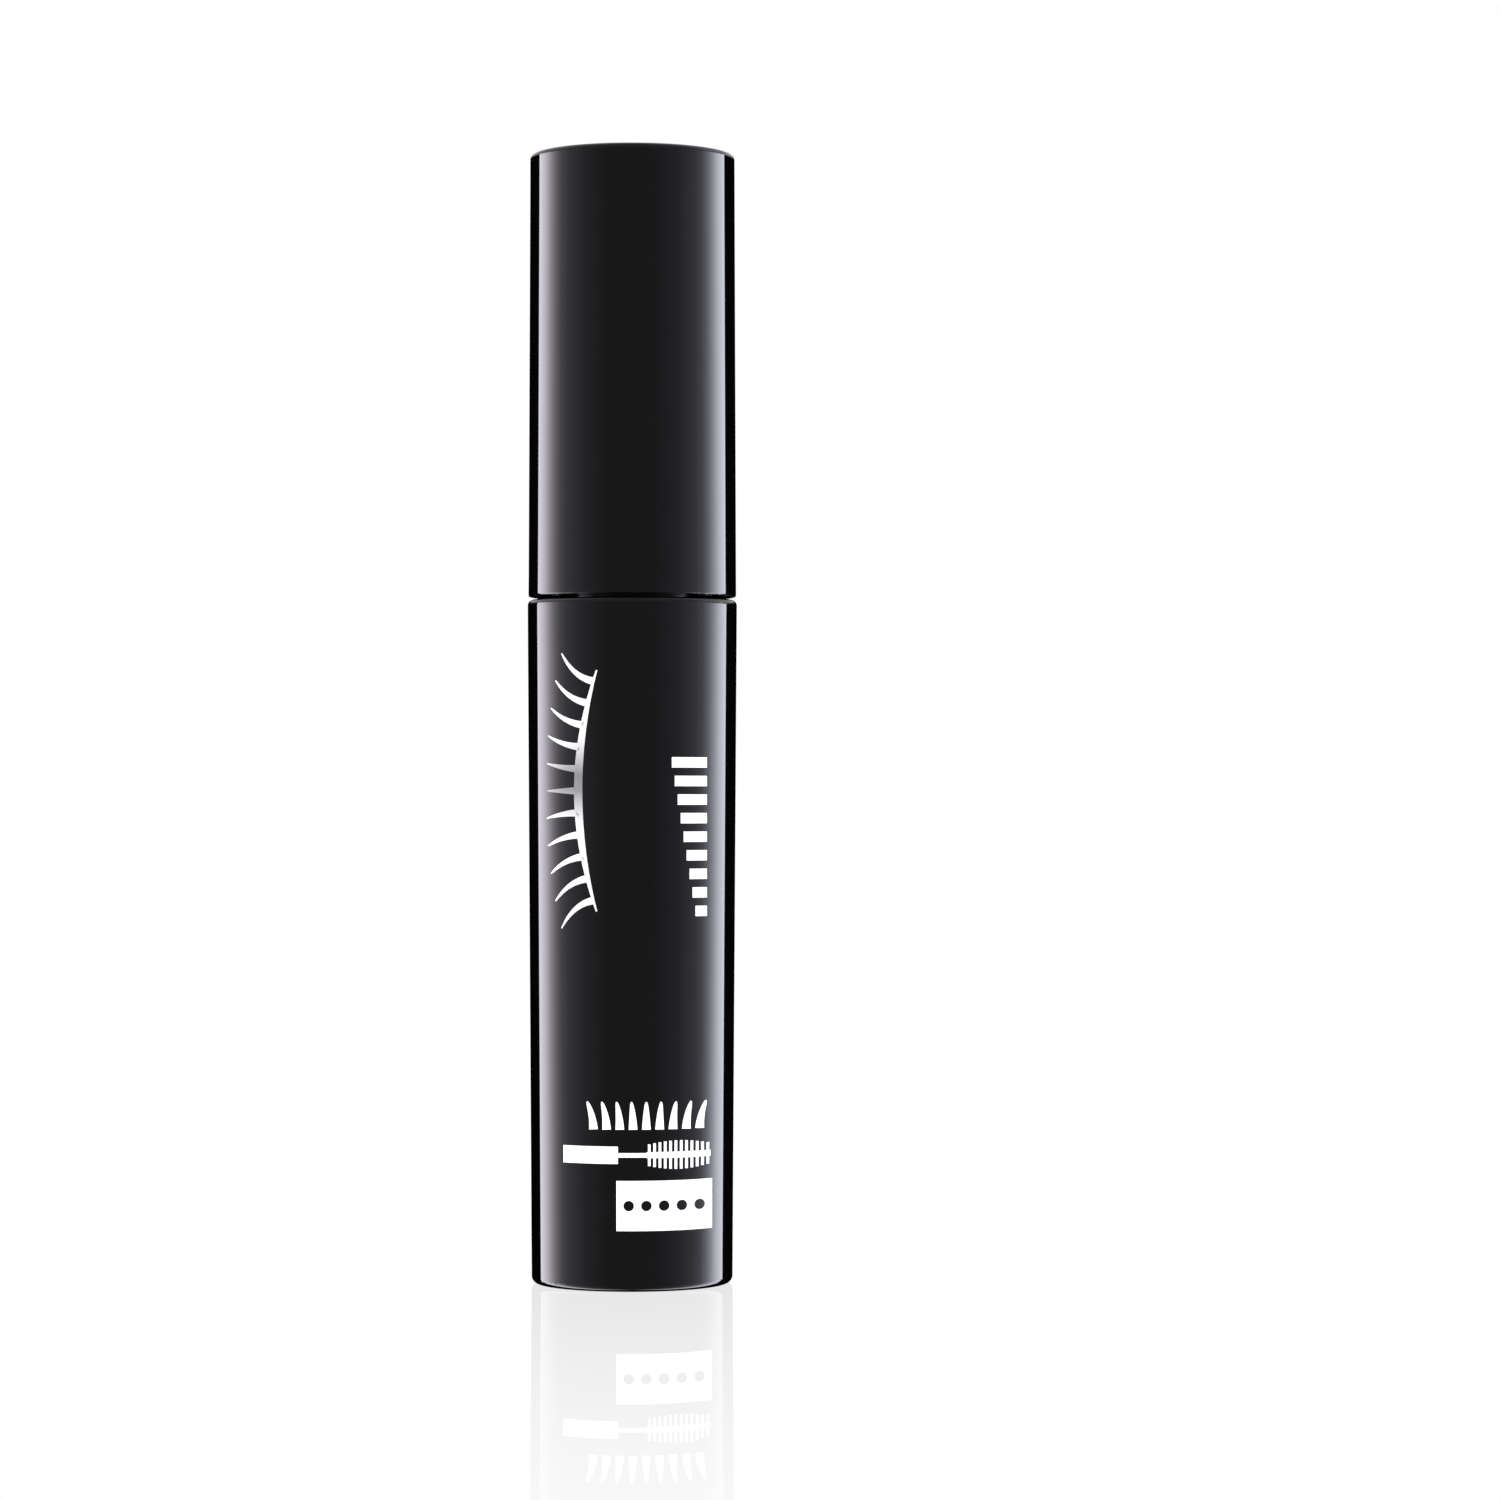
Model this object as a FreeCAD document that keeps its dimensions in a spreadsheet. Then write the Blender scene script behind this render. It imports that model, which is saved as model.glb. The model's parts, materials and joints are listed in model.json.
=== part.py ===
import FreeCAD, Part
import math
import os

import Sketcher

# A closed mascara: a double-walled bottle with a threaded neck, a wiper in the neck, and a cap
# that carries a stem and a curved brush. The origin is the centre of the underside, +Z is up,
# and every size is in millimetres.

SIZES = {
    # Overlap that joins two features of one piece
    "join_overlap": 0.2,
    # Outside
    "total_height": 112.5,
    "shoulder_height": 68.05,
    "seam_gap": 0.3,
    "base_radius": 10.0,
    "shoulder_radius": 10.44,
    "rim_radius": 10.36,
    "top_radius": 10.2,
    "base_round": 0.75,
    "shoulder_round": 0.55,
    "rim_round": 0.2,
    "top_round": 0.5,
    # Outer bottle
    "recess_radius": 8.3,
    "recess_depth": 0.35,
    "shell_floor": 2.0,
    "shell_bore": 8.75,
    "ledge_radius": 9.2,
    "ledge_depth": 1.4,
    # Base label
    "label_radius": 7.6,
    "label_thickness": 0.12,
    # Inner vial
    "vial_radius": 8.4,
    "vial_bore": 7.5,
    "vial_floor_gap": 0.2,
    "vial_floor": 1.0,
    "vial_round": 1.2,
    "flange_radius": 9.15,
    "flange_thickness": 1.0,
    "shoulder_plate": 0.3,
    "neck_radius": 5.9,
    "neck_bore": 4.6,
    "neck_top": 81.6,
    "rib_radius": 8.7,
    "rib_width": 0.8,
    "rib_low": 8.0,
    "rib_high": 60.0,
    "rib_count": 6,
    # Screw thread
    "thread_pitch": 3.0,
    "thread_length": 4.5,
    "thread_root_width": 1.3,
    "thread_crest_width": 0.7,
    "thread_low": 71.6,
    "neck_crest": 6.58,
    "cap_crest": 6.64,
    "cap_thread_low": 70.6,
    # Wiper
    "wiper_radius": 4.54,
    "wiper_bore": 3.9,
    "wiper_flange": 5.6,
    "wiper_flange_thickness": 0.6,
    "wiper_sleeve_low": 73.0,
    "wiper_lip_low": 70.2,
    "wiper_lip_thickness": 0.45,
    "wiper_shoulder": 0.4,
    "wiper_land": 0.8,
    "orifice_radius": 2.68,
    # Sealing washer
    "washer_gap": 0.03,
    "washer_thickness": 0.8,
    "washer_bore": 2.85,
    "washer_radius": 6.3,
    # Outer cap
    "cap_bore": 8.65,
    "cap_top_plate": 1.8,
    # Inner cap
    "liner_radius": 8.6,
    "liner_bore": 7.0,
    "liner_inset": 0.9,
    "ceiling_thickness": 1.4,
    "boss_radius": 4.2,
    "boss_bore": 2.65,
    "boss_top": 101.0,
    "stem_top_gap": 0.2,
    "bead_play": 0.3,
    "bead_slope": 0.2,
    "bead_height": 0.35,
    "fin_count": 8,
    "fin_thickness": 0.9,
    "fin_inside": 1.0,
    "fin_top": 110.4,
    # Stem
    "stem_radius": 2.6,
    "stem_low": 30.9,
    "stem_top": 99.0,
    "stem_round": 1.1,
    "stem_chamfer": 0.6,
    "snap_groove": 0.4,
    "snap_low": 92.0,
    "snap_length": 1.6,
    "socket_radius": 1.2,
    "socket_depth": 8.0,
    # Brush
    "shank_radius": 1.15,
    "shank_length": 7.6,
    "shank_overlap": 1.0,
    "core_radius": 1.43,
    "core_dome": 0.45,
    "core_bend": 200.0,
    "brush_length": 23.3,
    "first_ring": 0.5,
    "last_ring": 22.85,
    "ring_pitch": 0.572,
    "ring_bristles": 7,
    # Turn of the first ring and of every second ring, in steps between two bristles
    "ring_turn": 0.25,
    "ring_stagger": 0.5,
    "bristle_reach": 4.45,
    "bristle_bulge": 0.8,
    "bristle_flare": 1.9,
    "bristle_root": 0.19,
    "bristle_tip": 0.1,
    "bristle_sides": 8,
    "bristle_seat": 0.12,
    # Paste
    "paste_gap": 0.05,
    "paste_level": 58.0,
    "channel_bottom": 6.3,
    # Room for the curved brush to turn with the cap and to rise with it
    "channel_radius": 7.15,
    "channel_rise": 4.5,
    "channel_overlap": 1.0,
    "stem_channel": 2.85,
}

doc = FreeCAD.newDocument("Mascara")
sheet = doc.addObject("Spreadsheet::Sheet", "Sizes")
for row, (alias, number) in enumerate(SIZES.items(), start=1):
    sheet.set(f"A{row}", alias)
    sheet.set(f"B{row}", str(number))
    sheet.setAlias(f"B{row}", alias)
doc.recompute()

# Places nearer than this are the same place, in mm.
SAME_PLACE = 1e-4

# Heights that several pieces share, as expressions on the sheet.
LEDGE = "Sizes.shoulder_height - Sizes.ledge_depth"
FLANGE_TOP = f"{LEDGE} + Sizes.flange_thickness"
VIAL_LOW = "Sizes.shell_floor + Sizes.vial_floor_gap"
VIAL_FLOOR = f"{VIAL_LOW} + Sizes.vial_floor"
RIM_HEIGHT = "Sizes.shoulder_height + Sizes.seam_gap"
WIPER_TOP = "Sizes.neck_top + Sizes.wiper_flange_thickness"
WASHER_LOW = f"{WIPER_TOP} + Sizes.washer_gap"
WASHER_TOP = f"{WASHER_LOW} + Sizes.washer_thickness"
CEILING = f"{WASHER_TOP} + Sizes.washer_gap"
CEILING_TOP = f"{CEILING} + Sizes.ceiling_thickness"
CAP_CEILING = "Sizes.total_height - Sizes.cap_top_plate"
SOCKET_TOP = "Sizes.stem_low + Sizes.socket_depth"


def size(expression):
    """Value of an expression on the sheet."""
    return float(sheet.evalExpression(expression))


def new_body(label):
    """Empty body with its own label."""
    body = doc.addObject("PartDesign::Body", label)
    body.Label = label
    return body


def new_sketch(body, name, plane):
    """Sketch attached to one of the body's own origin planes."""
    sketch = body.newObject("Sketcher::SketchObject", name)
    support = next(item for item in body.Origin.OriginFeatures if item.Role == plane)
    sketch.AttachmentSupport = [(support, "")]
    sketch.MapMode = "FlatFace"
    return sketch


def pin_corner(sketch, line, axis, expression):
    """Hold one coordinate of a line's start point at an expression on the sheet."""
    kind = "DistanceX" if axis == 0 else "DistanceY"
    value = size(expression)
    if abs(value) < SAME_PLACE:
        across = -2 if axis == 0 else -1
        sketch.addConstraint(Sketcher.Constraint("PointOnObject", line, 1, across))
        return
    index = sketch.addConstraint(Sketcher.Constraint(kind, -1, 1, line, 1, value))
    name = f"corner_{line}_{'xy'[axis]}"
    sketch.renameConstraint(index, name)
    sketch.setExpression(f"Constraints.{name}", expression)


def outline_sketch(body, name, corners):
    """Closed outline on the XZ plane; each corner is a (radius, height) pair of expressions."""
    sketch = new_sketch(body, name, "XZ_Plane")
    places = [FreeCAD.Vector(size(across), size(up), 0) for across, up in corners]
    for start, end in zip(places, places[1:] + places[:1]):
        sketch.addGeometry(Part.LineSegment(start, end))
    for line in range(len(corners)):
        following = (line + 1) % len(corners)
        sketch.addConstraint(Sketcher.Constraint("Coincident", line, 2, following, 1))
    for line, (across, up) in enumerate(corners):
        pin_corner(sketch, line, 0, across)
        pin_corner(sketch, line, 1, up)
    doc.recompute()
    return sketch


def turned(body, name, corners):
    """Solid of revolution about Z from an outline of (radius, height) corners."""
    sketch = outline_sketch(body, f"{name}_outline", corners)
    feature = body.newObject("PartDesign::Revolution", name)
    feature.Profile = sketch
    feature.ReferenceAxis = (sketch, ["V_Axis"])
    feature.Angle = 360
    sketch.Visibility = False
    doc.recompute()
    return feature


def rounded(body, name, radius, edges, kind="PartDesign::Fillet"):
    """Fillet or chamfer on the circular edges at the given (radius, height) places."""
    base = body.Tip
    names = []
    for edge_radius, height in edges:
        wanted = (size(edge_radius), size(height))
        for number, edge in enumerate(base.Shape.Edges, start=1):
            curve = edge.Curve
            if curve.TypeId != "Part::GeomCircle":
                continue
            apart = math.hypot(curve.Radius - wanted[0], curve.Center.z - wanted[1])
            if apart < SAME_PLACE:
                names.append(f"Edge{number}")
    feature = body.newObject(kind, name)
    feature.Base = (base, names)
    feature.setExpression("Size" if kind.endswith("Chamfer") else "Radius", radius)
    doc.recompute()
    return feature


def thread(body, name, root, crest, low):
    """Single-start right-hand thread ridge between a root radius and a crest radius."""
    middle = f"{low} + Sizes.thread_root_width / 2"
    corners = [
        (root, low),
        (crest, f"{middle} - Sizes.thread_crest_width / 2"),
        (crest, f"{middle} + Sizes.thread_crest_width / 2"),
        (root, f"{low} + Sizes.thread_root_width"),
    ]
    sketch = outline_sketch(body, f"{name}_outline", corners)
    feature = body.newObject("PartDesign::AdditiveHelix", name)
    feature.Profile = sketch
    feature.ReferenceAxis = (sketch, ["V_Axis"])
    feature.Mode = 0
    feature.setExpression("Pitch", "Sizes.thread_pitch")
    feature.setExpression("Height", "Sizes.thread_length")
    sketch.Visibility = False
    doc.recompute()
    return feature


def fins(body, name, corners, thickness, count):
    """Radial fins: one pad across the XZ plane, repeated around Z."""
    sketch = outline_sketch(body, f"{name}_outline", corners)
    pad = body.newObject("PartDesign::Pad", f"{name}_first")
    pad.Profile = sketch
    pad.Midplane = True
    pad.setExpression("Length", thickness)
    sketch.Visibility = False
    doc.recompute()
    pattern = body.newObject("PartDesign::PolarPattern", name)
    pattern.Originals = [pad]
    pattern.Axis = (sketch, ["V_Axis"])
    pattern.Angle = 360
    pattern.setExpression("Occurrences", count)
    body.Tip = pattern
    doc.recompute()
    return pattern


def make_outer_bottle():
    """Glossy shell: slightly wider at the shoulder, with a shallow recess underneath."""
    body = new_body("outer_bottle")
    turned(body, "shell", [
        ("0", "Sizes.recess_depth"),
        ("Sizes.recess_radius", "Sizes.recess_depth"),
        ("Sizes.recess_radius", "0"),
        ("Sizes.base_radius", "0"),
        ("Sizes.shoulder_radius", "Sizes.shoulder_height"),
        ("Sizes.ledge_radius", "Sizes.shoulder_height"),
        ("Sizes.ledge_radius", LEDGE),
        ("Sizes.shell_bore", LEDGE),
        ("Sizes.shell_bore", "Sizes.shell_floor"),
        ("0", "Sizes.shell_floor"),
    ])
    rounded(body, "base_edge", "Sizes.base_round", [("Sizes.base_radius", "0")])
    shoulder = [("Sizes.shoulder_radius", "Sizes.shoulder_height")]
    rounded(body, "shoulder_edge", "Sizes.shoulder_round", shoulder)
    return body


def make_base_label():
    """Round paper label in the recess under the bottle."""
    label = doc.addObject("Part::Cylinder", "base_label")
    label.Label = "base_label"
    label.setExpression("Radius", "Sizes.label_radius")
    label.setExpression("Height", "Sizes.label_thickness")
    label.setExpression("Placement.Base.z", "Sizes.recess_depth - Sizes.label_thickness")
    return label


def make_inner_vial():
    """Vial that hangs by its flange in the outer bottle and ends in the threaded neck."""
    body = new_body("inner_vial")
    turned(body, "wall", [
        ("0", VIAL_LOW),
        ("Sizes.vial_radius", VIAL_LOW),
        ("Sizes.vial_radius", LEDGE),
        ("Sizes.flange_radius", LEDGE),
        ("Sizes.flange_radius", FLANGE_TOP),
        ("Sizes.neck_radius", FLANGE_TOP),
        ("Sizes.neck_radius", "Sizes.neck_top"),
        ("Sizes.neck_bore", "Sizes.neck_top"),
        ("Sizes.neck_bore", f"{LEDGE} - Sizes.shoulder_plate"),
        ("Sizes.vial_bore", f"{LEDGE} - Sizes.shoulder_plate"),
        ("Sizes.vial_bore", VIAL_FLOOR),
        ("0", VIAL_FLOOR),
    ])
    rounded(body, "bottom_edge", "Sizes.vial_round", [("Sizes.vial_radius", VIAL_LOW)])
    inside = "Sizes.vial_radius - Sizes.join_overlap"
    fins(body, "centring_ribs", [
        (inside, "Sizes.rib_low"),
        ("Sizes.rib_radius", "Sizes.rib_low"),
        ("Sizes.rib_radius", "Sizes.rib_high"),
        (inside, "Sizes.rib_high"),
    ], "Sizes.rib_width", "Sizes.rib_count")
    root = "Sizes.neck_radius - Sizes.join_overlap"
    thread(body, "neck_thread", root, "Sizes.neck_crest", "Sizes.thread_low")
    return body


def make_wiper():
    """Soft sleeve in the neck that narrows to the orifice round the stem."""
    body = new_body("wiper")
    outer_lip = "Sizes.orifice_radius + Sizes.wiper_lip_thickness"
    turned(body, "sleeve", [
        ("Sizes.orifice_radius", "Sizes.wiper_lip_low"),
        (outer_lip, "Sizes.wiper_lip_low"),
        ("Sizes.wiper_radius", "Sizes.wiper_sleeve_low"),
        ("Sizes.wiper_radius", "Sizes.neck_top"),
        ("Sizes.wiper_flange", "Sizes.neck_top"),
        ("Sizes.wiper_flange", WIPER_TOP),
        ("Sizes.wiper_bore", WIPER_TOP),
        ("Sizes.wiper_bore", "Sizes.wiper_sleeve_low + Sizes.wiper_shoulder"),
        ("Sizes.orifice_radius", "Sizes.wiper_lip_low + Sizes.wiper_land"),
    ])
    return body


def make_sealing_washer():
    """Loose washer round the stem, pinched between the wiper and the cap."""
    body = new_body("sealing_washer")
    turned(body, "ring", [
        ("Sizes.washer_bore", WASHER_LOW),
        ("Sizes.washer_radius", WASHER_LOW),
        ("Sizes.washer_radius", WASHER_TOP),
        ("Sizes.washer_bore", WASHER_TOP),
    ])
    return body


def make_outer_cap():
    """Glossy shell of the cap, nearly straight, with a rounded top edge."""
    body = new_body("outer_cap")
    turned(body, "shell", [
        ("Sizes.cap_bore", RIM_HEIGHT),
        ("Sizes.rim_radius", RIM_HEIGHT),
        ("Sizes.top_radius", "Sizes.total_height"),
        ("0", "Sizes.total_height"),
        ("0", CAP_CEILING),
        ("Sizes.cap_bore", CAP_CEILING),
    ])
    rounded(body, "top_edge", "Sizes.top_round", [("Sizes.top_radius", "Sizes.total_height")])
    rounded(body, "rim_edge", "Sizes.rim_round", [("Sizes.rim_radius", RIM_HEIGHT)])
    return body


def make_inner_cap():
    """Threaded liner of the cap, with the boss that grips the stem and fins up to the top."""
    body = new_body("inner_cap")
    liner_low = f"{RIM_HEIGHT} + Sizes.liner_inset"
    bead_low = "Sizes.snap_low + Sizes.bead_play"
    bead_high = "Sizes.snap_low + Sizes.snap_length - Sizes.bead_play"
    bead = "Sizes.boss_bore - Sizes.bead_height"
    boss_floor = "Sizes.stem_top + Sizes.stem_top_gap"
    turned(body, "liner", [
        ("Sizes.liner_bore", liner_low),
        ("Sizes.liner_radius", liner_low),
        ("Sizes.liner_radius", CEILING_TOP),
        ("Sizes.boss_radius", CEILING_TOP),
        ("Sizes.boss_radius", "Sizes.boss_top"),
        ("0", "Sizes.boss_top"),
        ("0", boss_floor),
        ("Sizes.boss_bore", boss_floor),
        ("Sizes.boss_bore", bead_high),
        (bead, f"{bead_high} - Sizes.bead_slope"),
        (bead, f"{bead_low} + Sizes.bead_slope"),
        ("Sizes.boss_bore", bead_low),
        ("Sizes.boss_bore", CEILING),
        ("Sizes.liner_bore", CEILING),
    ])
    boss_side = "Sizes.boss_radius - Sizes.join_overlap"
    boss_end = "Sizes.boss_top - Sizes.join_overlap"
    plate = f"{CEILING_TOP} - Sizes.join_overlap"
    fins(body, "grip_fins", [
        ("Sizes.fin_inside", boss_end),
        (boss_side, boss_end),
        (boss_side, plate),
        ("Sizes.liner_radius", plate),
        ("Sizes.liner_radius", "Sizes.fin_top"),
        ("Sizes.fin_inside", "Sizes.fin_top"),
    ], "Sizes.fin_thickness", "Sizes.fin_count")
    root = "Sizes.liner_bore + Sizes.join_overlap"
    thread(body, "cap_thread", root, "Sizes.cap_crest", "Sizes.cap_thread_low")
    return body


def make_stem():
    """Rod with a snap groove near its top and a domed end with a socket for the brush."""
    body = new_body("stem")
    groove = "Sizes.stem_radius - Sizes.snap_groove"
    snap_high = "Sizes.snap_low + Sizes.snap_length"
    turned(body, "rod", [
        ("Sizes.socket_radius", "Sizes.stem_low"),
        ("Sizes.stem_radius", "Sizes.stem_low"),
        ("Sizes.stem_radius", "Sizes.snap_low"),
        (groove, "Sizes.snap_low"),
        (groove, snap_high),
        ("Sizes.stem_radius", snap_high),
        ("Sizes.stem_radius", "Sizes.stem_top"),
        ("0", "Sizes.stem_top"),
        ("0", SOCKET_TOP),
        ("Sizes.socket_radius", SOCKET_TOP),
    ])
    rounded(body, "domed_end", "Sizes.stem_round", [("Sizes.stem_radius", "Sizes.stem_low")])
    top = [("Sizes.stem_radius", "Sizes.stem_top")]
    rounded(body, "top_edge", "Sizes.stem_chamfer", top, "PartDesign::Chamfer")
    return body


def core_point(length):
    """Point on the core's axis and the way along it, at a length below the stem."""
    bend = size("Sizes.core_bend")
    turn = length / bend
    low = size("Sizes.stem_low")
    place = FreeCAD.Vector(bend * (1 - math.cos(turn)), 0, low - bend * math.sin(turn))
    along = FreeCAD.Vector(math.sin(turn), 0, -math.cos(turn))
    return place, along


def make_brush_core():
    """Curved core of the brush, swept along an arc, with a straight shank into the stem."""
    body = new_body("brush_core")
    length = size("Sizes.brush_length - Sizes.core_dome")
    path = new_sketch(body, "core_path", "XZ_Plane")
    start, middle, end = (core_point(part * length)[0] for part in (0, 0.5, 1))
    flat = [FreeCAD.Vector(point.x, point.z, 0) for point in (start, middle, end)]
    path.addGeometry(Part.Arc(*flat))
    circle = new_sketch(body, "core_section", "XY_Plane")
    circle.AttachmentOffset = FreeCAD.Placement(start, FreeCAD.Rotation())
    circle.setExpression("AttachmentOffset.Base.z", "Sizes.stem_low")
    circle.addGeometry(Part.Circle(FreeCAD.Vector(), FreeCAD.Vector(0, 0, 1), 1))
    circle.addConstraint(Sketcher.Constraint("Coincident", 0, 3, -1, 1))
    radius = circle.addConstraint(Sketcher.Constraint("Radius", 0, size("Sizes.core_radius")))
    circle.renameConstraint(radius, "section_radius")
    circle.setExpression("Constraints.section_radius", "Sizes.core_radius")
    doc.recompute()
    core = body.newObject("PartDesign::AdditivePipe", "core")
    core.Profile = circle
    core.Spine = (path, ["Edge1"])
    path.Visibility = False
    circle.Visibility = False
    doc.recompute()
    shank_low = "Sizes.stem_low - Sizes.shank_overlap"
    shank_top = "Sizes.stem_low + Sizes.shank_length"
    turned(body, "shank", [
        ("0", shank_low),
        ("Sizes.shank_radius", shank_low),
        ("Sizes.shank_radius", shank_top),
        ("0", shank_top),
    ])
    tip, along = core_point(length)
    dome = body.newObject("PartDesign::AdditiveEllipsoid", "tip_dome")
    dome.setExpression("Radius1", "Sizes.core_dome")
    dome.setExpression("Radius2", "Sizes.core_radius")
    dome.setExpression("Radius3", "Sizes.core_radius")
    dome.Placement = FreeCAD.Placement(tip, FreeCAD.Rotation(FreeCAD.Vector(0, 0, -1), along))
    doc.recompute()
    return body


def bristle_length(station, angle):
    """Reach of a bristle from the core's axis: the brush is hollow on its inner side."""
    span = station / size("Sizes.brush_length") * 2 - 1
    bulge = size("Sizes.bristle_bulge") - size("Sizes.bristle_flare") * span ** 2
    return size("Sizes.bristle_reach") - bulge * math.cos(angle)


def tapered_rod(foot, way, length):
    """Many-sided bristle from a foot point, narrowing to its tip."""
    sides = int(size("Sizes.bristle_sides"))
    turn = FreeCAD.Rotation(FreeCAD.Vector(0, 0, 1), way)
    ends = []
    for radius, height in ((size("Sizes.bristle_root"), 0), (size("Sizes.bristle_tip"), length)):
        ring = []
        for side in range(sides):
            angle = side * 2 * math.pi / sides
            corner = FreeCAD.Vector(radius * math.cos(angle), radius * math.sin(angle), height)
            ring.append(foot + turn.multVec(corner))
        ends.append(ring)
    root, tip = ends
    outlines = [root[::-1], tip]
    for side in range(sides):
        after = (side + 1) % sides
        outlines.append([root[side], root[after], tip[after], tip[side]])
    faces = [Part.Face(Part.makePolygon(outline + outline[:1])) for outline in outlines]
    return Part.Solid(Part.Shell(faces))


def make_brush_bristles():
    """Rings of tapered bristles; every second ring is turned by half a step."""
    count = int(size("Sizes.ring_bristles"))
    turn = size("Sizes.ring_turn")
    stagger = size("Sizes.ring_stagger")
    pitch = size("Sizes.ring_pitch")
    seat = size("Sizes.core_radius - Sizes.bristle_seat")
    first = size("Sizes.first_ring")
    rings = int((size("Sizes.last_ring") - first) / pitch) + 1
    across = FreeCAD.Vector(0, 1, 0)
    rods = []
    for ring in range(rings):
        station = first + ring * pitch
        place, along = core_point(station)
        inward = along.cross(across)
        for number in range(count):
            angle = (number + turn + stagger * (ring % 2)) * 2 * math.pi / count
            way = inward * math.cos(angle) + across * math.sin(angle)
            length = bristle_length(station, angle) - seat
            rods.append(tapered_rod(place + way * seat, way, length))
    bristles = doc.addObject("Part::Feature", "brush_bristles")
    bristles.Label = "brush_bristles"
    bristles.Shape = Part.makeCompound(rods)
    bristles.Placement = FreeCAD.Placement()
    return bristles


def make_mascara_paste():
    """Paste in the vial, with the channel that the stem and the brush stand in."""
    fill = doc.addObject("Part::Cylinder", "paste_fill")
    fill.setExpression("Radius", "Sizes.vial_bore - Sizes.paste_gap")
    fill.setExpression("Height", f"Sizes.paste_level - ({VIAL_FLOOR}) - Sizes.paste_gap")
    fill.setExpression("Placement.Base.z", f"{VIAL_FLOOR} + Sizes.paste_gap")
    room = doc.addObject("Part::Cylinder", "brush_channel")
    room.setExpression("Radius", "Sizes.channel_radius")
    room_top = "Sizes.stem_low + Sizes.channel_rise + Sizes.channel_overlap"
    room.setExpression("Height", f"{room_top} - Sizes.channel_bottom")
    room.setExpression("Placement.Base.z", "Sizes.channel_bottom")
    shaft = doc.addObject("Part::Cylinder", "stem_channel")
    shaft.setExpression("Radius", "Sizes.stem_channel")
    shaft_height = "Sizes.paste_level + Sizes.channel_overlap - Sizes.stem_low"
    shaft.setExpression("Height", shaft_height)
    shaft.setExpression("Placement.Base.z", "Sizes.stem_low")
    wider = doc.addObject("Part::Cut", "paste_less_brush")
    wider.Base = fill
    wider.Tool = room
    paste = doc.addObject("Part::Cut", "mascara_paste")
    paste.Label = "mascara_paste"
    paste.Base = wider
    paste.Tool = shaft
    return paste


PIECES = [
    make_outer_bottle(),
    make_base_label(),
    make_inner_vial(),
    make_mascara_paste(),
    make_wiper(),
    make_sealing_washer(),
    make_outer_cap(),
    make_inner_cap(),
    make_stem(),
    make_brush_core(),
    make_brush_bristles(),
]
doc.recompute()

for item in doc.Objects:
    if "Invalid" in item.State or "Error" in item.State:
        raise RuntimeError(f"{item.Name} failed: {item.State}")
for piece in PIECES:
    if piece.Shape.isNull() or not piece.Shape.isValid():
        raise RuntimeError(f"{piece.Label} has no valid shape")

os.makedirs("parts", exist_ok=True)
for piece in PIECES:
    piece.Shape.exportStep(f"parts/{piece.Label}.step")
    print(f"{piece.Label}: {len(piece.Shape.Solids)} solids, {piece.Shape.Volume:.2f} mm3")
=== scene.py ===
import json
import math
import random

import bmesh
import bpy
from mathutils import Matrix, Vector
from mathutils.geometry import tessellate_polygon

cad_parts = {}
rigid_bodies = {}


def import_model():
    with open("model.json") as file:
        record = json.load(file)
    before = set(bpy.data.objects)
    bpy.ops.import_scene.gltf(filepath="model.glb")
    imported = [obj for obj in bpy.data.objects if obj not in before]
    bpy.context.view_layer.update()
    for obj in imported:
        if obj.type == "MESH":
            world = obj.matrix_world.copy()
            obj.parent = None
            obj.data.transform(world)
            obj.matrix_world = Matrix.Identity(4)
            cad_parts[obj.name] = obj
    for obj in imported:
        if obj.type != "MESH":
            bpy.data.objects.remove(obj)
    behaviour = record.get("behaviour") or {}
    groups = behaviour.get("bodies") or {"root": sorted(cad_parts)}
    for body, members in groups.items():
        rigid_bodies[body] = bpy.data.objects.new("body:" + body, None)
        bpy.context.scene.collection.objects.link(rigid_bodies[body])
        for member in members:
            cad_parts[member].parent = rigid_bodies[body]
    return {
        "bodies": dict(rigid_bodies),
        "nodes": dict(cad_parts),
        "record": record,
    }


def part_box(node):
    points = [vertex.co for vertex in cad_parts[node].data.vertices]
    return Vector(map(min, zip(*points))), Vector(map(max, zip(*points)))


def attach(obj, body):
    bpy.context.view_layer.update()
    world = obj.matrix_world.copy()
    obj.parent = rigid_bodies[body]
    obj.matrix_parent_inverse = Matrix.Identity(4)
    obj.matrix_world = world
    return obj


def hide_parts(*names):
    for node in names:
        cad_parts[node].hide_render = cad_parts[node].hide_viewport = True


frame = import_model()
nodes = frame["nodes"]

MM = 0.001
FRAME_OBJECTS = set(nodes.values()) | set(frame["bodies"].values())
for leftover in [item for item in bpy.data.objects if item not in FRAME_OBJECTS]:
    bpy.data.objects.remove(leftover)
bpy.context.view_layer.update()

# ---------------------------------------------------------------- sizes, in millimetres

# Brush: the curved core and its rings of bristles
CORE_BEND = 200.0
CORE_RADIUS = 1.43
BRISTLE_SEAT = 0.12
RING_PITCH = 0.572
RING_BRISTLES = 7
RING_TURN = 0.25
RING_STAGGER = 0.5
BRUSH_LENGTH = 23.3
FIRST_RING = 0.5
LAST_RING = 22.85
BRISTLE_REACH = 4.45
BRISTLE_BULGE = 0.8
BRISTLE_FLARE = 1.9
BRISTLE_ROOT = 0.21
BRISTLE_TIP = 0.1
BRISTLE_SIDES = 10
BRISTLE_STEPS = 9
ROOT_FILLET = 0.12
LEAN_AT_STEM = math.radians(8.0)
LEAN_AT_TIP = math.radians(-3.5)

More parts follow.
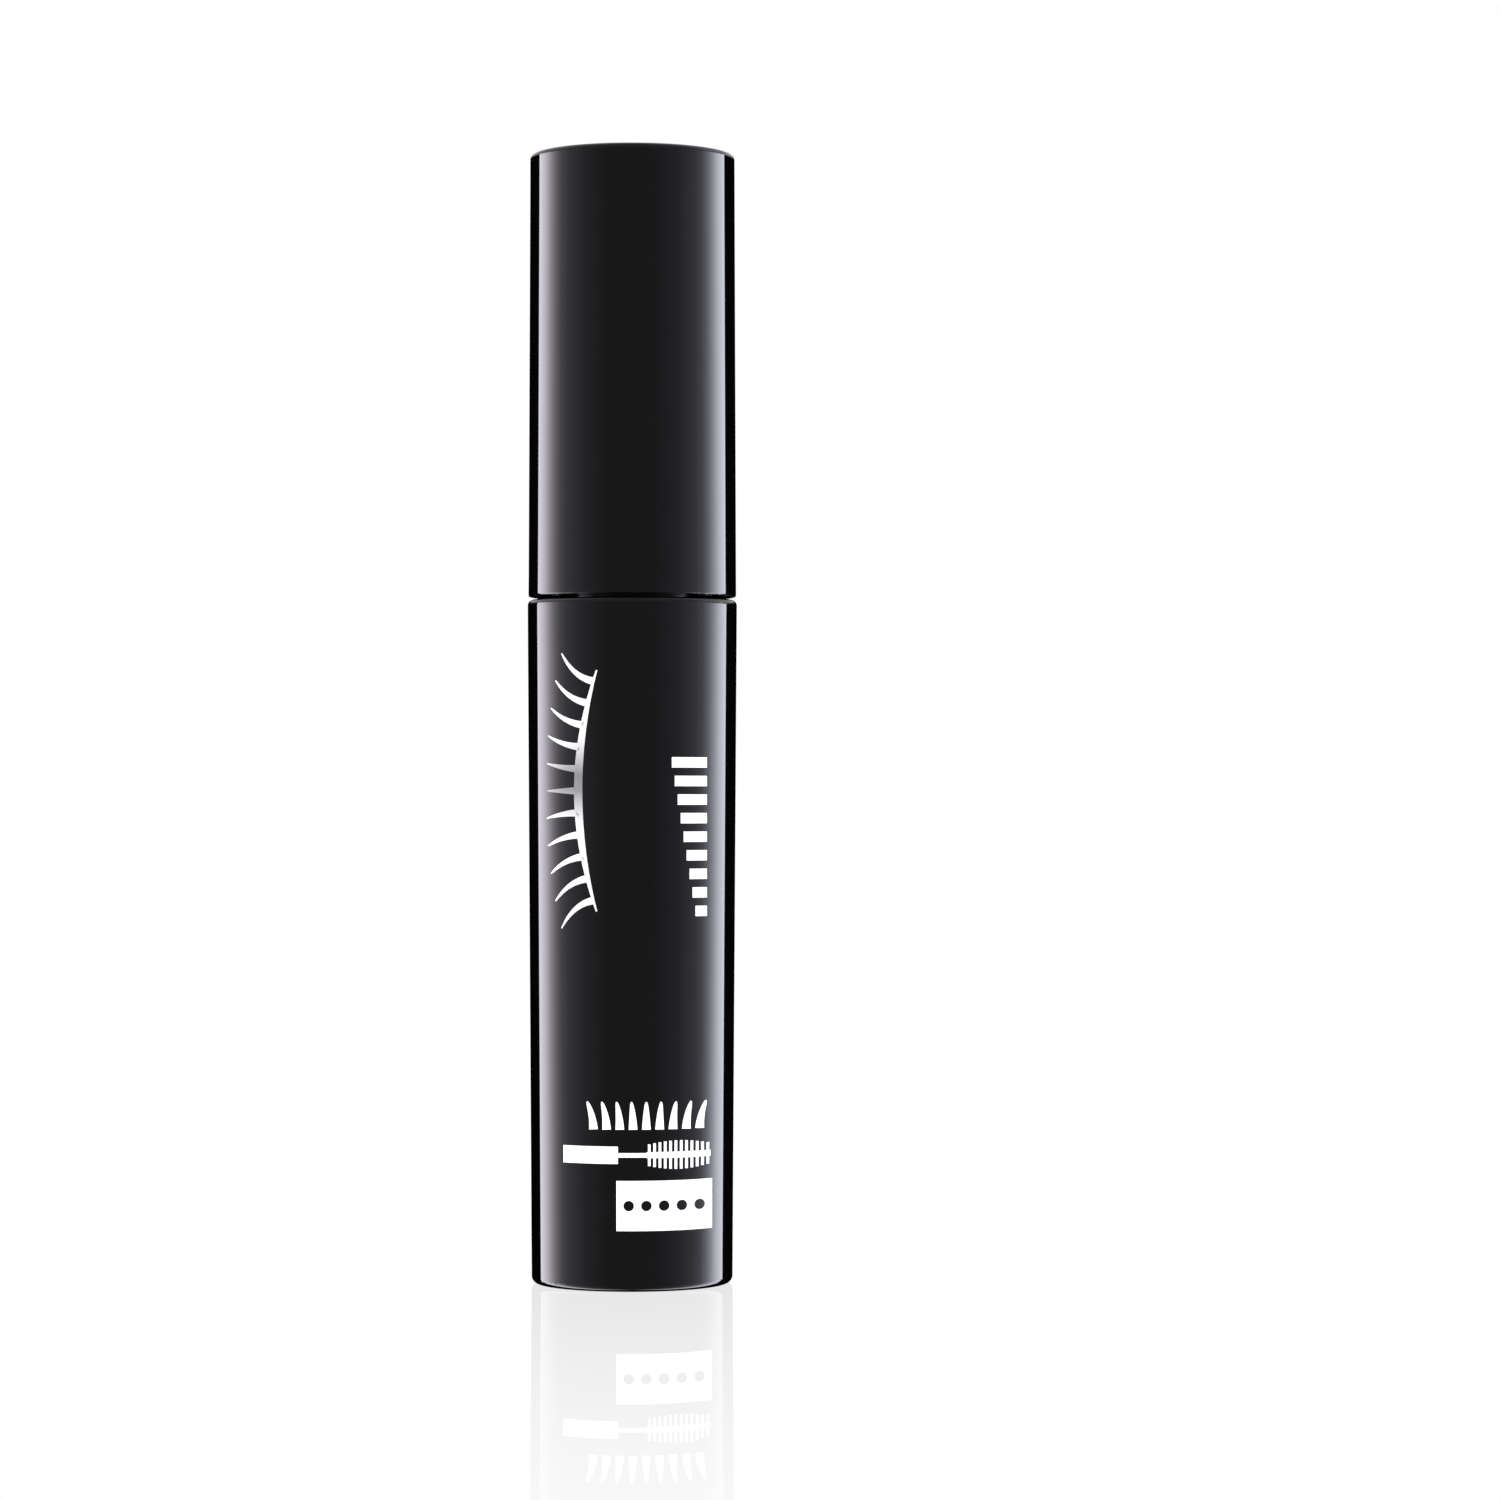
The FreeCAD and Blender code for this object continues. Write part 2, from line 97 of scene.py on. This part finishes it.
# Print on the bottle
PRINT_LIFT = 0.024
PRINT_SINK = 0.03
PRINT_SLICE = 0.25
MOTIF_EDGE = -3.25
MOTIF_BULGE = -6.9
MOTIF_LOW = 37.2
MOTIF_HIGH = 60.8
BARS_RIGHT = 7.5
BARS_LOW = 36.7
BARS_HIGH = 53.1
BARS_NARROW = 1.1
BARS_WIDE = 3.4

# Camera, in metres and degrees
CAMERA_PLACE = (0.01175, -0.480, 0.048)
CAMERA_PITCH = 90.608
CAMERA_LENS = 115.4
SENSOR_WIDTH = 36.0

# Light: the brightest level of the studio, and the floor's mirror image
LIGHT_PEAK = 6.0
MIRROR_SHARE = 0.215
MIRROR_REACH = 0.205


# ---------------------------------------------------------------- materials

def new_material(name):
    """Empty node material with a Principled shader, its tree and the shader."""
    material = bpy.data.materials.new(name)
    material.use_nodes = True
    tree = material.node_tree
    shader = next(node for node in tree.nodes if node.type == "BSDF_PRINCIPLED")
    return material, tree, shader


def place_noise(tree, scale, detail=3.0, stretch=(1, 1, 1)):
    """Noise in the object's own space; scale is in features per metre."""
    place = tree.nodes.new("ShaderNodeTexCoord")
    mapping = tree.nodes.new("ShaderNodeMapping")
    mapping.inputs["Scale"].default_value = stretch
    noise = tree.nodes.new("ShaderNodeTexNoise")
    noise.inputs["Scale"].default_value = scale
    noise.inputs["Detail"].default_value = detail
    tree.links.new(place.outputs["Object"], mapping.inputs["Vector"])
    tree.links.new(mapping.outputs["Vector"], noise.inputs["Vector"])
    return noise.outputs["Fac"]


def spread(tree, value, low, high, start=0.3, end=0.7):
    """Map a noise value to a range."""
    ranged = tree.nodes.new("ShaderNodeMapRange")
    ranged.inputs["From Min"].default_value = start
    ranged.inputs["From Max"].default_value = end
    ranged.inputs["To Min"].default_value = low
    ranged.inputs["To Max"].default_value = high
    tree.links.new(value, ranged.inputs["Value"])
    return ranged.outputs["Result"]


def tinted(tree, value, dark, light, start=0.3, end=0.7):
    """Colour between two ends, driven by a value."""
    ramp = tree.nodes.new("ShaderNodeValToRGB")
    ramp.color_ramp.elements[0].position = start
    ramp.color_ramp.elements[0].color = (*dark, 1)
    ramp.color_ramp.elements[1].position = end
    ramp.color_ramp.elements[1].color = (*light, 1)
    tree.links.new(value, ramp.inputs["Fac"])
    return ramp.outputs["Color"]


def relief(tree, shader, height, strength, depth):
    """Fine bump of a given depth in metres."""
    bump = tree.nodes.new("ShaderNodeBump")
    bump.inputs["Strength"].default_value = strength
    bump.inputs["Distance"].default_value = depth
    tree.links.new(height, bump.inputs["Height"])
    tree.links.new(bump.outputs["Normal"], shader.inputs["Normal"])


def plastic(name, dark, light, rough, grain, grain_depth, colour_scale=400.0):
    """Moulded plastic: slight colour drift, uneven polish and a fine surface grain."""
    material, tree, shader = new_material(name)
    drift = place_noise(tree, colour_scale)
    tree.links.new(tinted(tree, drift, dark, light), shader.inputs["Base Color"])
    polish = place_noise(tree, grain * 0.4, 2.0)
    tree.links.new(spread(tree, polish, *rough), shader.inputs["Roughness"])
    if grain_depth:
        relief(tree, shader, place_noise(tree, grain, 4.0), 0.5, grain_depth)
    return material, shader


def make_materials():
    """Every finish, by its slot in the record."""
    made = {}
    material, shader = plastic("gloss_black", (0.0012, 0.0011, 0.0012),
                               (0.0019, 0.0017, 0.0019), (0.03, 0.055), 900.0, 0)
    shader.inputs["IOR"].default_value = 1.5
    made["gloss_black"] = material
    material, shader = plastic("stem_satin", (0.008, 0.007, 0.009),
                               (0.011, 0.010, 0.0125), (0.15, 0.2), 2500.0, 0.000003)
    shader.inputs["IOR"].default_value = 1.5
    made["stem_satin"] = material
    made["vial_plastic"] = plastic("vial_plastic", (0.0035, 0.0033, 0.0037),
                                   (0.0055, 0.0052, 0.0057), (0.16, 0.23), 1500.0, 0.000004)[0]
    made["liner_plastic"] = plastic("liner_plastic", (0.012, 0.0115, 0.0125),
                                    (0.017, 0.016, 0.0175), (0.32, 0.42), 1500.0, 0.000008)[0]
    material, shader = plastic("brush_plastic", (0.028, 0.026, 0.0275),
                               (0.04, 0.037, 0.0395), (0.45, 0.56), 4000.0, 0.00001)
    shader.inputs["Specular IOR Level"].default_value = 0.06
    made["brush_plastic"] = material
    material, shader = plastic("brush_elastomer", (0.0012, 0.001, 0.0012),
                               (0.0026, 0.0022, 0.0026), (0.4, 0.5), 5000.0, 0.000006)
    shader.inputs["Specular IOR Level"].default_value = 0.34
    made["brush_elastomer"] = material
    material, shader = plastic("wiper_rubber", (0.62, 0.62, 0.6), (0.72, 0.72, 0.7),
                               (0.35, 0.5), 1200.0, 0.00001)
    shader.inputs["Subsurface Weight"].default_value = 0.4
    shader.inputs["Subsurface Radius"].default_value = (0.001, 0.001, 0.001)
    made["wiper_rubber"] = material
    made["washer_foam"] = plastic("washer_foam", (0.66, 0.66, 0.64), (0.8, 0.8, 0.78),
                                  (0.75, 0.9), 9000.0, 0.00006)[0]
    made["paste"] = plastic("paste", (0.002, 0.0018, 0.002), (0.006, 0.0055, 0.006),
                            (0.12, 0.3), 700.0, 0.0001)[0]
    made["label_paper"] = plastic("label_paper", (0.74, 0.74, 0.72), (0.84, 0.84, 0.82),
                                  (0.45, 0.6), 6000.0, 0.00002)[0]
    made["silver_foil"] = make_foil()
    made["white_ink"] = plastic("white_ink", (0.86, 0.86, 0.86), (0.96, 0.96, 0.96),
                                (0.3, 0.42), 7000.0, 0.000004)[0]
    return made


def make_foil():
    """Hot-stamped silver: bright at both ends of the motif and greyer between them."""
    material, tree, shader = new_material("silver_foil")
    shader.inputs["Metallic"].default_value = 0.35
    place = tree.nodes.new("ShaderNodeTexCoord")
    apart = tree.nodes.new("ShaderNodeSeparateXYZ")
    tree.links.new(place.outputs["Object"], apart.inputs["Vector"])
    ramp = tree.nodes.new("ShaderNodeValToRGB")
    along = spread(tree, apart.outputs["Z"], 0, 1, 0.036, 0.062)
    stops = ramp.color_ramp.elements
    stops[0].position = 0.0
    stops[0].color = (0.8, 0.79, 0.8, 1)
    stops[1].position = 1.0
    stops[1].color = (1, 1, 1, 1)
    for position, level in ((0.2, 1.0), (0.36, 0.95), (0.5, 0.3), (0.56, 0.25), (0.72, 0.95)):
        stop = stops.new(position)
        stop.color = (level, level * 0.985, level, 1)
    tree.links.new(along, ramp.inputs["Fac"])
    tree.links.new(ramp.outputs["Color"], shader.inputs["Base Color"])
    brushed = place_noise(tree, 6000.0, 2.0, (1, 1, 0.05))
    tree.links.new(spread(tree, brushed, 0.3, 0.45), shader.inputs["Roughness"])
    return material


def finish_cad_nodes(made):
    """Give every node of the frame the finish of its slot."""
    for part in frame["record"]["subparts"]:
        node = nodes[part["node"]]
        for place in node.material_slots:
            place.material = made[part["material_slot"]]


# ---------------------------------------------------------------- mesh helpers

def add_object(name, mesh, body, material):
    """Link a finished mesh as a piece that rides on a body."""
    piece = bpy.data.objects.new(name, mesh)
    bpy.context.scene.collection.objects.link(piece)
    mesh.materials.append(material)
    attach(piece, body)
    return piece


def wall_line():
    """Lowest and highest ring of the bottle's straight outer wall, as (height, radius)."""
    rings = [(v.co.z, math.hypot(v.co.x, v.co.y)) for v in nodes["outer_bottle"].data.vertices]
    middle = sum(corner.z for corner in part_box("outer_bottle")) / 2
    low = max((ring for ring in rings if ring[0] < middle), key=lambda ring: ring[1])
    high = max((ring for ring in rings if ring[0] >= middle), key=lambda ring: ring[1])
    return low, high


def wall_radius(height):
    """Radius of the bottle's wall at a height."""
    (low, low_radius), (high, high_radius) = WALL
    return low_radius + (high_radius - low_radius) * (height - low) / (high - low)


def print_mesh(name, shapes):
    """Thin closed layer that wraps flat shapes, seen from the front, round the bottle.

    A shape is a list of outlines in millimetres, (across, up): the first is its edge and
    any others are holes in it."""
    form = bmesh.new()
    for shape in shapes:
        rims = [[Vector((across, up, 0)) for across, up in outline] for outline in shape]
        corners = [form.verts.new((spot.x, 0, spot.y)) for rim in rims for spot in rim]
        for triangle in tessellate_polygon(rims):
            form.faces.new([corners[index] for index in triangle])
    low = min(corner.co.x for corner in form.verts)
    high = max(corner.co.x for corner in form.verts)
    for step in range(math.ceil(low / PRINT_SLICE), math.floor(high / PRINT_SLICE) + 1):
        geometry = form.verts[:] + form.edges[:] + form.faces[:]
        cut = Vector((step * PRINT_SLICE, 0, 0))
        bmesh.ops.bisect_plane(form, geom=geometry, plane_co=cut, plane_no=(1, 0, 0), dist=1e-5)
    grown = bmesh.ops.extrude_face_region(form, geom=form.faces[:], use_keep_orig=True)
    for item in grown["geom"]:
        if isinstance(item, bmesh.types.BMVert):
            item.co.y = -1.0
    for corner in form.verts:
        across, outer, up = corner.co * MM
        radius = wall_radius(up)
        angle = math.asin(across / radius)
        radius += (PRINT_LIFT if outer else -PRINT_SINK) * MM
        corner.co = (radius * math.sin(angle), -radius * math.cos(angle), up)
    bmesh.ops.recalc_face_normals(form, faces=form.faces[:])
    mesh = bpy.data.meshes.new(name)
    form.to_mesh(mesh)
    form.free()
    mesh.shade_smooth()
    mesh.set_sharp_from_angle(angle=math.radians(40))
    return mesh


# ---------------------------------------------------------------- print on the bottle

def bar(left, right, low, high):
    """Rectangle."""
    return [(left, low), (right, low), (right, high), (left, high)]


def disc(across, up, radius, count=28):
    """Circle."""
    turns = [2 * math.pi * number / count for number in range(count)]
    return [(across + radius * math.cos(turn), up + radius * math.sin(turn)) for turn in turns]


def curve(start, pull, end, count=12):
    """Points along a quadratic curve, as vectors."""
    start, pull, end = Vector(start), Vector(pull), Vector(end)
    parts = [number / count for number in range(count + 1)]
    return [start * (1 - t) ** 2 + pull * 2 * t * (1 - t) + end * t ** 2 for t in parts]


def stroke(line, width_at):
    """Outline of a stroke whose width follows a formula of the part of its length."""
    left = []
    right = []
    last = len(line) - 1
    for number, spot in enumerate(line):
        way = (line[min(number + 1, last)] - line[max(number - 1, 0)]).normalized()
        side = Vector((-way.y, way.x)) * width_at(number / last) / 2
        left.append(tuple(spot + side))
        right.append(tuple(spot - side))
    return left + right[::-1]


def lash_motif():
    """A closed eye turned on its side: a lid line with lashes fanning to the left."""
    steps = 44
    pull = (MOTIF_BULGE, (MOTIF_LOW + MOTIF_HIGH) / 2)
    lid = curve((MOTIF_EDGE, MOTIF_LOW), pull, (MOTIF_EDGE, MOTIF_HIGH), steps)
    shapes = [[stroke(lid, lambda t: 0.16 + 0.66 * math.sin(math.pi * t))]]
    count = 11
    for number in range(count):
        spot = lid[round((number + 0.5) / count * steps)]
        fan = (number + 0.5) / count * 2 - 1
        reach = 3.15 + 0.55 * abs(fan)
        rise = fan * 0.95
        pull = (spot.x - reach * 0.55, spot.y + rise * 0.45)
        tip = (spot.x - reach * math.cos(rise * 0.6), spot.y + reach * math.sin(rise))
        line = curve(spot, pull, tip)
        shapes.append([stroke(line, lambda t: 0.66 * (1 - t) ** 0.85 + 0.1)])
    return shapes


def rising_bars():
    """Stack of bars that grow upwards, flush on the right."""
    count = 9
    pitch = (BARS_HIGH - BARS_LOW) / count
    shapes = []
    for number in range(count):
        low = BARS_LOW + number * pitch
        width = BARS_NARROW + (BARS_WIDE - BARS_NARROW) * number / (count - 1)
        shapes.append([bar(BARS_RIGHT - width, BARS_RIGHT, low, low + pitch * 0.56)])
    return shapes


def lash_row(left, right, low, high, count):
    """Row of curved, tapering upright strokes."""
    shapes = []
    pitch = (right - left) / count
    for number in range(count):
        middle = left + pitch * (number + 0.5)
        lean = (number / (count - 1) - 0.5) * 0.9
        line = curve((middle - lean * 0.4, low), (middle - lean * 0.3, (low + high) / 2),
                     (middle + lean, high))
        shapes.append([stroke(line, lambda t: 0.72 * (1 - t) ** 0.6 + 0.14)])
    return shapes


def wand_sign(left, right, low, high):
    """Small wand drawing: grip, stem and a bristled head."""
    middle = (low + high) / 2
    grip_end = left + 5.4
    head = left + 8.2
    shapes = [[bar(left, grip_end, middle - 0.85, middle + 0.85)]]
    shapes.append([bar(grip_end, head, middle - 0.22, middle + 0.22)])
    shapes.append([bar(head, right, middle - 0.3, middle + 0.3)])
    count = 12
    pitch = (right - head) / count
    for number in range(count):
        spot = head + pitch * (number + 0.5)
        reach = (high - low) / 2 * (0.72 + 0.28 * math.sin(math.pi * (number + 0.5) / count))
        shapes.append([bar(spot - 0.13, spot + 0.13, middle - reach, middle + reach)])
    return shapes


def dotted_plate(left, right, low, high, count):
    """Solid plate with a row of round holes that show the black bottle."""
    pitch = (right - left) / (count + 0.4)
    holes = [disc(left + pitch * (number + 0.7), (low + high) / 2, pitch * 0.3)
             for number in range(count)]
    return [[bar(left, right, low, high), *holes]]


def make_print(made):
    """Foil motif and white ink on the front of the bottle."""
    white = {
        "print_bars": rising_bars(),
        "print_lashes": lash_row(-4.4, 7.65, 15.9, 18.6, 9),
        "print_wand": wand_sign(-6.55, 7.85, 12.0, 14.8),
        "print_plate": dotted_plate(-1.3, 8.0, 6.0, 10.9, 5),
    }
    add_object("print_motif", print_mesh("print_motif", lash_motif()), "bottle",
               made["silver_foil"])
    for name, shapes in white.items():
        add_object(name, print_mesh(name, shapes), "bottle", made["white_ink"])


# ---------------------------------------------------------------- brush

def core_point(length):
    """Point on the core's axis and the way along it, in millimetres from the stem's end."""
    turn = length / CORE_BEND
    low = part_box("stem")[0].z / MM
    place = Vector((CORE_BEND * (1 - math.cos(turn)), 0, low - CORE_BEND * math.sin(turn)))
    along = Vector((math.sin(turn), 0, -math.cos(turn)))
    return place, along


def bristle_length(station, angle):
    """Reach of a bristle from the core's axis: the brush is hollow on its inner side."""
    span = station / BRUSH_LENGTH * 2 - 1
    bulge = BRISTLE_BULGE - BRISTLE_FLARE * span ** 2
    return BRISTLE_REACH - bulge * math.cos(angle)


def bristle_profile(length):
    """(distance, radius) rings of one bristle: flared root, straight taper, rounded tip."""
    rings = []
    for step in range(BRISTLE_STEPS):
        part = step / (BRISTLE_STEPS - 1)
        distance = (length - BRISTLE_TIP) * part ** 1.5
        radius = BRISTLE_ROOT + (BRISTLE_TIP - BRISTLE_ROOT) * part ** 1.5
        radius += ROOT_FILLET * math.exp(-distance / ROOT_FILLET)
        rings.append((distance, radius))
    for turn in (30, 60, 82):
        angle = math.radians(turn)
        distance = length - BRISTLE_TIP + BRISTLE_TIP * math.sin(angle)
        rings.append((distance, BRISTLE_TIP * math.cos(angle)))
    return rings


def add_bristle(form, foot, way, droop, length):
    """Tapered bristle that bends evenly towards droop along its length."""
    side = way.orthogonal().normalized()
    other = way.cross(side)
    rings = []
    for distance, radius in bristle_profile(length):
        centre = foot + way * distance + droop * (distance ** 2 / length)
        ring = []
        for number in range(BRISTLE_SIDES):
            turn = 2 * math.pi * number / BRISTLE_SIDES
            spot = centre + (side * math.cos(turn) + other * math.sin(turn)) * radius
            ring.append(form.verts.new(spot * MM))
        rings.append(ring)
    for below, above in zip(rings, rings[1:]):
        for number in range(BRISTLE_SIDES):
            after = (number + 1) % BRISTLE_SIDES
            form.faces.new((below[number], below[after], above[after], above[number]))
    form.faces.new(rings[0][::-1])
    form.faces.new(rings[-1])


def make_bristles(made):
    """Every bristle of the brush as one moulded piece."""
    chance = random.Random(7)
    form = bmesh.new()
    across = Vector((0, 1, 0))
    rings = int((LAST_RING - FIRST_RING) / RING_PITCH) + 1
    for ring in range(rings):
        station = FIRST_RING + ring * RING_PITCH
        place, along = core_point(station)
        inward = along.cross(across)
        lean = LEAN_AT_STEM + (LEAN_AT_TIP - LEAN_AT_STEM) * ring / (rings - 1)
        for number in range(RING_BRISTLES):
            step = number + RING_TURN + RING_STAGGER * (ring % 2)
            angle = step * 2 * math.pi / RING_BRISTLES
            straight = inward * math.cos(angle) + across * math.sin(angle)
            foot = place + straight * (CORE_RADIUS - BRISTLE_SEAT)
            tilt = lean * 0.6 + math.radians(chance.gauss(0, 0.8))
            way = (straight + along * math.tan(tilt)).normalized()
            sideways = along.cross(straight) * chance.gauss(0, 0.02)
            droop = along * math.tan(lean * 0.8) * 0.5 + sideways
            droop += along * chance.gauss(0, 0.012)
            reach = bristle_length(station, angle) * chance.uniform(0.985, 1.01)
            add_bristle(form, foot, way, droop, reach - CORE_RADIUS + BRISTLE_SEAT)
    mesh = bpy.data.meshes.new("brush_filaments")
    form.to_mesh(mesh)
    form.free()
    mesh.shade_smooth()
    mesh.set_sharp_from_angle(angle=math.radians(60))
    piece = add_object("brush_filaments", mesh, "applicator",
                       made["brush_elastomer"])
    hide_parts("brush_bristles")


# ---------------------------------------------------------------- stage, light and camera

def make_floor():
    """White floor with a faint mirror image near the object that fades with distance."""
    form = bmesh.new()
    bmesh.ops.create_grid(form, x_segments=2, y_segments=2, size=4.0)
    mesh = bpy.data.meshes.new("floor")
    form.to_mesh(mesh)
    form.free()
    floor = bpy.data.objects.new("floor", mesh)
    bpy.context.scene.collection.objects.link(floor)
    material = bpy.data.materials.new("floor_white")
    material.use_nodes = True
    tree = material.node_tree
    tree.nodes.clear()
    place = tree.nodes.new("ShaderNodeTexCoord")
    length = tree.nodes.new("ShaderNodeVectorMath")
    length.operation = "LENGTH"
    fade = tree.nodes.new("ShaderNodeMapRange")
    fade.inputs["From Min"].default_value = 0.0
    fade.inputs["From Max"].default_value = MIRROR_REACH
    fade.inputs["To Min"].default_value = MIRROR_SHARE
    fade.inputs["To Max"].default_value = 0.0
    glow = tree.nodes.new("ShaderNodeEmission")
    mirror = tree.nodes.new("ShaderNodeBsdfGlossy")
    mirror.inputs["Roughness"].default_value = 0.0
    mirror.inputs["Color"].default_value = (1, 1, 1, 1)
    mix = tree.nodes.new("ShaderNodeMixShader")
    output = tree.nodes.new("ShaderNodeOutputMaterial")
    tree.links.new(place.outputs["Object"], length.inputs[0])
    tree.links.new(length.outputs["Value"], fade.inputs["Value"])
    tree.links.new(fade.outputs["Result"], mix.inputs["Fac"])
    tree.links.new(glow.outputs["Emission"], mix.inputs[1])
    tree.links.new(mirror.outputs["BSDF"], mix.inputs[2])
    tree.links.new(mix.outputs["Shader"], output.inputs["Surface"])
    mesh.materials.append(material)
    floor.visible_glossy = False
    floor.visible_diffuse = False
    floor.visible_shadow = False


def ramp_node(tree, stops, scale):
    """Grey colour ramp from (position, level) stops, with levels divided by scale."""
    ramp = tree.nodes.new("ShaderNodeValToRGB")
    elements = ramp.color_ramp.elements
    elements[0].position = stops[0][0]
    elements[1].position = stops[-1][0]
    for position, _ in stops[1:-1]:
        elements.new(position)
    for element, (_, level) in zip(elements, stops):
        element.color = (level / scale, level / scale, level / scale, 1)
    return ramp


def math_node(tree, operation, first, second=None):
    """Math node fed by sockets or numbers."""
    node = tree.nodes.new("ShaderNodeMath")
    node.operation = operation
    for index, value in enumerate((first, second)):
        if value is None:
            continue
        if isinstance(value, (int, float)):
            node.inputs[index].default_value = value
        else:
            tree.links.new(value, node.inputs[index])
    return node.outputs["Value"]


def make_light():
    """White studio: tall soft boxes behind both sides, dim in front and black at the back.

    Matt surfaces are lit mostly from the front instead, and the backdrop is plain white. The
    ramps give the brightness by compass direction, in degrees from the front to the back."""
    world = bpy.data.worlds.new("studio")
    bpy.context.scene.world = world
    world.use_nodes = True
    tree = world.node_tree
    tree.nodes.clear()
    place = tree.nodes.new("ShaderNodeTexCoord")
    apart = tree.nodes.new("ShaderNodeSeparateXYZ")
    tree.links.new(place.outputs["Generated"], apart.inputs["Vector"])
    across = math_node(tree, "ABSOLUTE", apart.outputs["X"])
    ahead = math_node(tree, "MULTIPLY", apart.outputs["Y"], -1.0)
    compass = math_node(tree, "DIVIDE", math_node(tree, "ARCTAN2", across, ahead), math.pi)
    degrees = ((0, 0.21), (25, 0.21), (40, 0.29), (54, 0.4), (66, 0.6), (76, 0.76), (86, 1.2),
               (95, 2.3), (102.5, 3.7), (110, 5.3), (116, 6.0), (127.9, 5.9), (128.3, 0), (180, 0))
    level_ring = ramp_node(tree, [(turn / 180, level) for turn, level in degrees], LIGHT_PEAK)
    tree.links.new(compass, level_ring.inputs["Fac"])
    above = ((0, 0.3), (70, 0.45), (110, 1.0), (180, 1.0))
    upper_ring = ramp_node(tree, [(turn / 180, level) for turn, level in above], LIGHT_PEAK)
    tree.links.new(compass, upper_ring.inputs["Fac"])
    height = tree.nodes.new("ShaderNodeMapRange")
    height.inputs["From Min"].default_value = math.sin(math.radians(8))
    height.inputs["From Max"].default_value = math.sin(math.radians(16))
    tree.links.new(apart.outputs["Z"], height.inputs["Value"])
    rings = tree.nodes.new("ShaderNodeMix")
    rings.data_type = "RGBA"
    tree.links.new(height.outputs["Result"], rings.inputs["Factor"])
    tree.links.new(level_ring.outputs["Color"], rings.inputs["A"])
    tree.links.new(upper_ring.outputs["Color"], rings.inputs["B"])
    tint = tree.nodes.new("ShaderNodeValToRGB")
    tint.color_ramp.elements[0].position = 0.12
    tint.color_ramp.elements[0].color = (1.0, 0.955, 1.06, 1)
    tint.color_ramp.elements[1].position = 0.88
    tint.color_ramp.elements[1].color = (0.95, 0.97, 1.12, 1)
    facing = tint.color_ramp.elements.new(0.5)
    facing.color = (1.06, 0.96, 0.97, 1)
    side = math_node(tree, "MULTIPLY_ADD", apart.outputs["X"], 0.5)
    side.node.inputs[2].default_value = 0.5
    tree.links.new(side, tint.inputs["Fac"])
    tinted_rings = tree.nodes.new("ShaderNodeMix")
    tinted_rings.data_type = "RGBA"
    tinted_rings.blend_type = "MULTIPLY"
    tinted_rings.inputs["Factor"].default_value = 1.0
    tree.links.new(rings.outputs["Result"], tinted_rings.inputs["A"])
    tree.links.new(tint.outputs["Color"], tinted_rings.inputs["B"])
    mirrored = tree.nodes.new("ShaderNodeBackground")
    mirrored.inputs["Strength"].default_value = LIGHT_PEAK
    tree.links.new(tinted_rings.outputs["Result"], mirrored.inputs["Color"])
    fill = ((0, 1.8), (35, 1.45), (70, 0.6), (110, 0.3), (180, 0.3))
    front_fill = ramp_node(tree, [(turn / 180, level) for turn, level in fill], LIGHT_PEAK)
    tree.links.new(compass, front_fill.inputs["Fac"])
    soft = tree.nodes.new("ShaderNodeBackground")
    soft.inputs["Strength"].default_value = LIGHT_PEAK
    tree.links.new(front_fill.outputs["Color"], soft.inputs["Color"])
    even = tree.nodes.new("ShaderNodeBackground")
    even.inputs["Strength"].default_value = 0.3
    spread_light = tree.nodes.new("ShaderNodeAddShader")
    tree.links.new(soft.outputs["Background"], spread_light.inputs[0])
    tree.links.new(even.outputs["Background"], spread_light.inputs[1])
    backdrop = tree.nodes.new("ShaderNodeBackground")
    backdrop.inputs["Color"].default_value = (1, 1, 1, 1)
    backdrop.inputs["Strength"].default_value = 1.0
    even.inputs["Color"].default_value = (1, 1, 1, 1)
    path = tree.nodes.new("ShaderNodeLightPath")
    straight = math_node(tree, "MAXIMUM", path.outputs["Is Camera Ray"],
                         path.outputs["Is Singular Ray"])
    for_diffuse = tree.nodes.new("ShaderNodeMixShader")
    tree.links.new(path.outputs["Is Diffuse Ray"], for_diffuse.inputs["Fac"])
    tree.links.new(mirrored.outputs["Background"], for_diffuse.inputs[1])
    tree.links.new(spread_light.outputs["Shader"], for_diffuse.inputs[2])
    for_camera = tree.nodes.new("ShaderNodeMixShader")
    tree.links.new(straight, for_camera.inputs["Fac"])
    tree.links.new(for_diffuse.outputs["Shader"], for_camera.inputs[1])
    tree.links.new(backdrop.outputs["Background"], for_camera.inputs[2])
    output = tree.nodes.new("ShaderNodeOutputWorld")
    tree.links.new(for_camera.outputs["Shader"], output.inputs["Surface"])


def make_camera():
    """Level camera in front of the tube, at about half its height."""
    data = bpy.data.cameras.new("camera")
    data.lens = CAMERA_LENS
    data.sensor_width = SENSOR_WIDTH
    camera = bpy.data.objects.new("camera", data)
    camera.location = CAMERA_PLACE
    camera.rotation_euler = (math.radians(CAMERA_PITCH), 0, 0)
    bpy.context.scene.collection.objects.link(camera)
    bpy.context.scene.camera = camera
    view = bpy.context.scene.view_settings
    view.view_transform = "Standard"
    view.look = "None"


WALL = wall_line()
make_camera()
make_light()
make_floor()
finishes = make_materials()
finish_cad_nodes(finishes)
make_print(finishes)
make_bristles(finishes)
